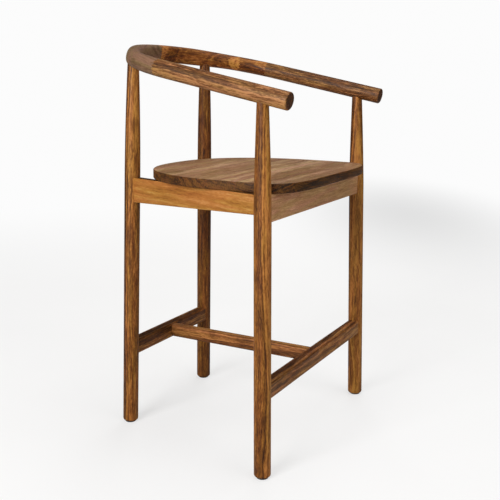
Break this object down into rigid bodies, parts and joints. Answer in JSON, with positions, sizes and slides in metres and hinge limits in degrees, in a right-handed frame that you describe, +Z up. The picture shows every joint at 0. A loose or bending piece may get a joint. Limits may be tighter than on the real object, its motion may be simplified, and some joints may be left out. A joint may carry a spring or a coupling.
{
  "type": "bar stool",
  "caption": "Wooden counter-height bar stool with round leaning legs, flat seat, wrap-around sloping arm and back rail, and a front footrest stretcher.",
  "frame": {"origin": "on the floor, under the middle of the overall box", "axes": "+Z up, the sitter faces -Y, +X to the right of someone standing in front; left-right symmetric about the YZ plane"},
  "size_m": [0.5998, 0.5247, 0.9449],
  "materials": {
    "leg_wood": "satin oiled",
    "glide": "matt",
    "apron_front_wood": "satin oiled",
    "apron_side_wood": "satin oiled",
    "block_wood": "bare",
    "screw_steel": "plated",
    "seat_wood": "satin oiled",
    "stretcher_wood": "satin oiled",
    "rail_wood": "satin oiled",
    "rail_corner_wood": "satin oiled"
  },
  "bodies": {
    "root": {"leg_front_left": "leg_wood", "leg_front_right": "leg_wood", "leg_back_left": "leg_wood", "leg_back_right": "leg_wood", "glide_front_left": "glide", "glide_front_right": "glide", "glide_back_left": "glide", "glide_back_right": "glide", "apron_front": "apron_front_wood", "apron_back": "apron_front_wood", "apron_left": "apron_side_wood", "apron_right": "apron_side_wood", "corner_block_front_left": "block_wood", "corner_block_front_right": "block_wood", "corner_block_back_left": "block_wood", "corner_block_back_right": "block_wood", "seat_batten": "block_wood", "block_screws": "screw_steel", "seat_screws": "screw_steel", "seat_board_1": "seat_wood", "seat_board_2": "seat_wood", "seat_board_3": "seat_wood", "seat_board_4": "seat_wood", "stretcher_front": "stretcher_wood", "stretcher_back": "stretcher_wood", "stretcher_middle": "stretcher_wood", "arm_left": "rail_wood", "arm_right": "rail_wood", "rail_corner_left": "rail_corner_wood", "rail_corner_right": "rail_corner_wood", "rail_back_left": "rail_corner_wood", "rail_back_right": "rail_wood"}
  },
  "joints": []
}
